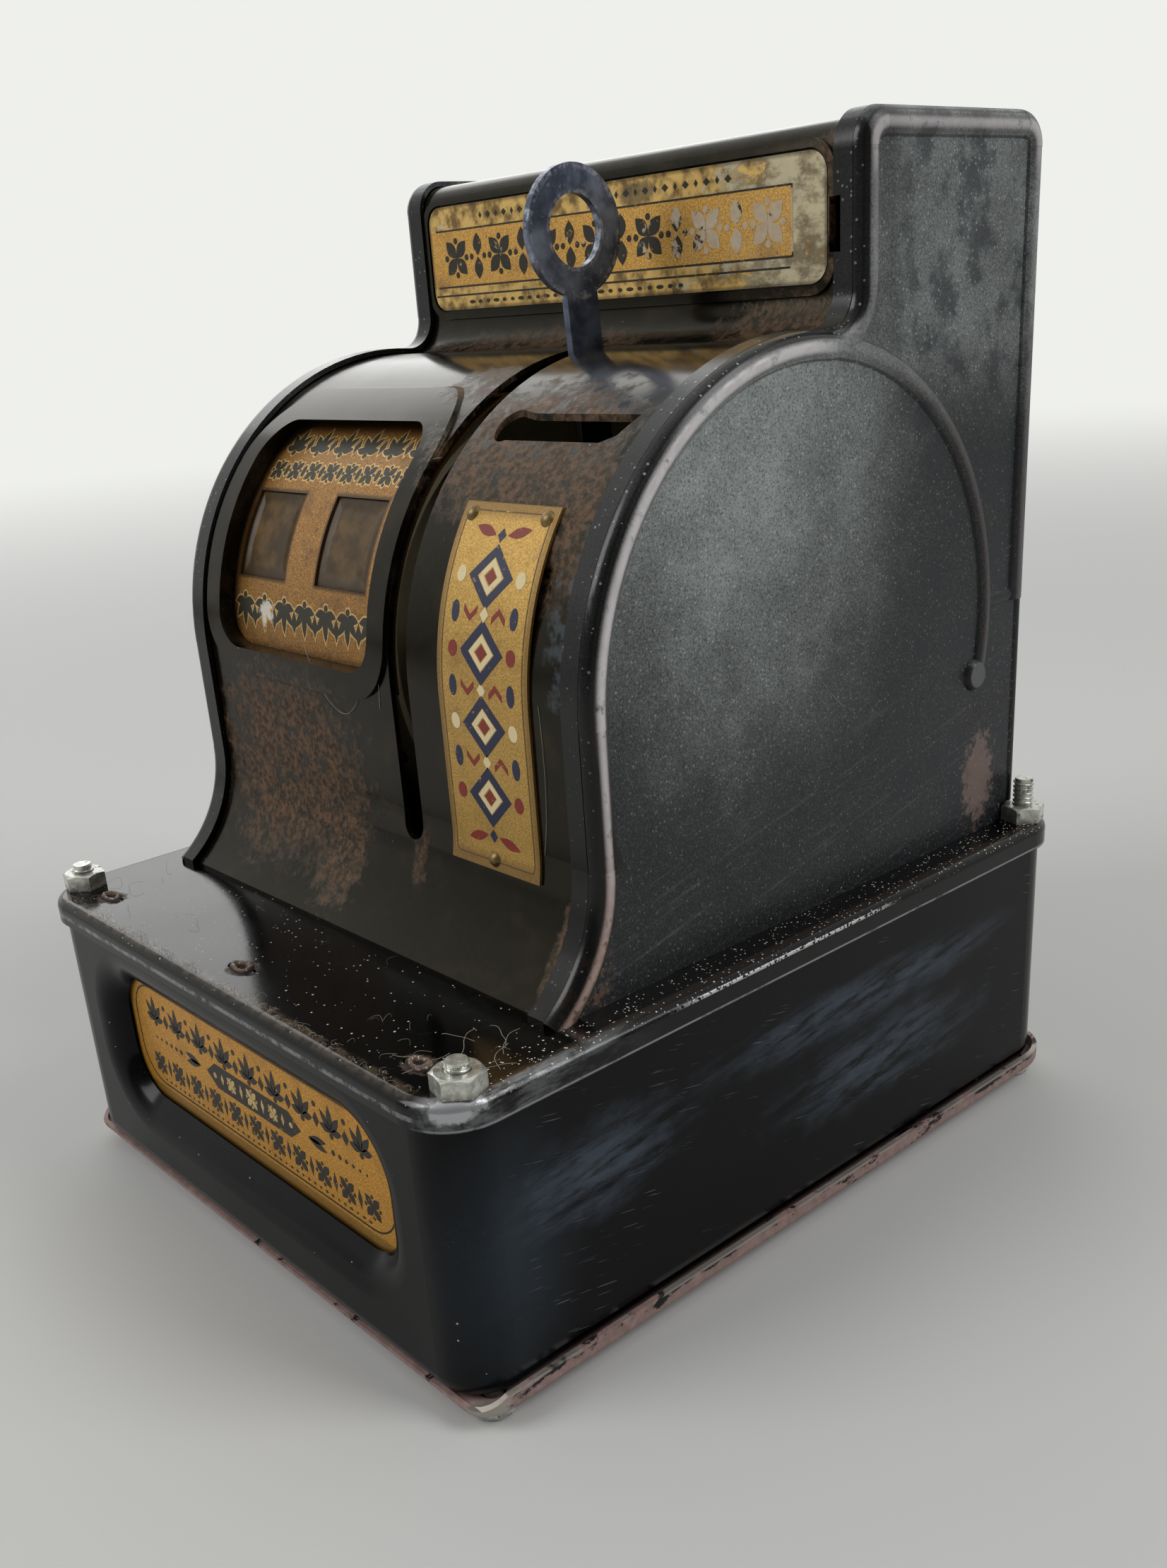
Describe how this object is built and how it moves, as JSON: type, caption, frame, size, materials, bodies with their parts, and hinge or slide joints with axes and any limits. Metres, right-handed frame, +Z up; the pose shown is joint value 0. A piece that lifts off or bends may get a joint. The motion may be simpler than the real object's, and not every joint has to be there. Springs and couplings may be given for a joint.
{
  "type": "coin register bank",
  "caption": "Pressed steel toy cash register bank: round front with coin slot, pull lever and number drums, standing on a coin box with a gold door",
  "frame": {"origin": "on the table, under the middle of the coin box", "axes": "+X to the right across the front, -Y out of the front, +Z up"},
  "size_m": [0.1156, 0.137, 0.1583],
  "materials": {
    "black_enamel": "worn baked gloss enamel on pressed steel",
    "primed_steel": "brown primer with black paint worn off",
    "gold_tin": "lithographed tinplate, gold ground",
    "zinc_steel": "dull zinc plating",
    "plain_steel": "bare pressed steel, oily and slightly tarnished",
    "spring_steel": "drawn spring wire",
    "blued_steel": "heat blued and worn steel",
    "bell_metal": "nickel plated bell",
    "brass_rivets": "tarnished brass plating",
    "number_drum": "printed cream enamel",
    "aged_celluloid": "browned clear celluloid"
  },
  "bodies": {
    "housing": {"base_lid": "black_enamel", "base_box": "black_enamel", "bottom_plate": "primed_steel", "base_screws": "zinc_steel", "base_nuts": "zinc_steel", "door_hanger": "plain_steel", "door_hinge_pin": "plain_steel", "latch_rivet": "plain_steel", "left_side_plate": "black_enamel", "right_side_plate": "black_enamel", "front_sheet": "black_enamel", "back_sheet": "black_enamel", "register_plate": "gold_tin", "dollars_pane": "aged_celluloid", "cents_pane": "aged_celluloid", "marquee_plate": "gold_tin", "narrow_plate": "gold_tin", "narrow_plate_rivets": "brass_rivets", "left_frame_plate": "plain_steel", "middle_frame_plate": "plain_steel", "right_frame_plate": "plain_steel", "frame_rivets": "plain_steel", "front_tie_rod": "plain_steel", "rear_tie_rod": "plain_steel", "upper_tie_rod": "plain_steel", "main_axle": "plain_steel", "detent_springs": "spring_steel", "bell": "bell_metal", "bell_post": "plain_steel", "lever_return_spring": "spring_steel"},
    "lever": {"lever_pull": "blued_steel", "lever_hub": "plain_steel", "drive_arm": "plain_steel", "pawl_pin": "plain_steel", "coin_carrier": "plain_steel"},
    "drive_pawl": {"drive_pawl": "plain_steel"},
    "cents": {"cents_drum": "number_drum", "cents_ratchet": "plain_steel"},
    "dollars": {"dollars_drum": "number_drum", "dollars_gear": "plain_steel"},
    "pinion": {"transfer_pinion": "plain_steel"},
    "cents_stop": {"detent_pawl": "plain_steel"},
    "dollars_stop": {"dollars_detent": "plain_steel"},
    "clapper": {"bell_clapper": "plain_steel"},
    "door": {"coin_door": "gold_tin"},
    "latch": {"door_latch": "plain_steel"}
  },
  "joints": [
    {"name": "lever_swing", "type": "hinge", "parent": "housing", "child": "lever", "pos_m": [0, 0.0093, 0.08705], "axis": [1, 0, 0], "range_deg": [0, 108], "stiffness_Nm_per_rad": 0.06, "springref_deg": -20.05},
    {"name": "drive_pawl_drop", "type": "hinge", "parent": "lever", "child": "drive_pawl", "pos_m": [0, 0.0218, 0.1087], "axis": [1, 0, 0], "range_deg": [0, 10], "stiffness_Nm_per_rad": 0.01},
    {"name": "cents_spin", "type": "hinge", "parent": "housing", "child": "cents", "pos_m": [0, 0.0093, 0.08705], "axis": [1, 0, 0], "continuous": true},
    {"name": "dollars_spin", "type": "hinge", "parent": "housing", "child": "dollars", "pos_m": [0, 0.0093, 0.08705], "axis": [1, 0, 0], "continuous": true},
    {"name": "pinion_spin", "type": "hinge", "parent": "housing", "child": "pinion", "pos_m": [0, 0.03182, 0.10005], "axis": [1, 0, 0], "continuous": true},
    {"name": "cents_stop_drop", "type": "hinge", "parent": "housing", "child": "cents_stop", "pos_m": [0, 0.0521, 0.0551], "axis": [1, 0, 0], "range_deg": [-3, 0], "stiffness_Nm_per_rad": 0.2, "deforming": ["detent_springs"]},
    {"name": "dollars_stop_drop", "type": "hinge", "parent": "housing", "child": "dollars_stop", "pos_m": [0, 0.0521, 0.0551], "axis": [1, 0, 0], "range_deg": [-3, 0], "stiffness_Nm_per_rad": 0.2, "deforming": ["detent_springs"]},
    {"name": "clapper_swing", "type": "hinge", "parent": "housing", "child": "clapper", "pos_m": [0, 0.045, 0.11905], "axis": [1, 0, 0], "range_deg": [-12, 3], "stiffness_Nm_per_rad": 0.01},
    {"name": "door_swing", "type": "hinge", "parent": "housing", "child": "door", "pos_m": [0, -0.06148, 0.0415], "axis": [1, 0, 0], "range_deg": [0, 65]},
    {"name": "latch_turn", "type": "hinge", "parent": "housing", "child": "latch", "pos_m": [0.04667, -0.0617, 0.0272], "axis": [0, -1, 0], "range_deg": [0, 90]}
  ],
  "couplings": [
    {"joint": "pinion_spin", "follows": "dollars_spin", "ratio": -3.3333}
  ]
}
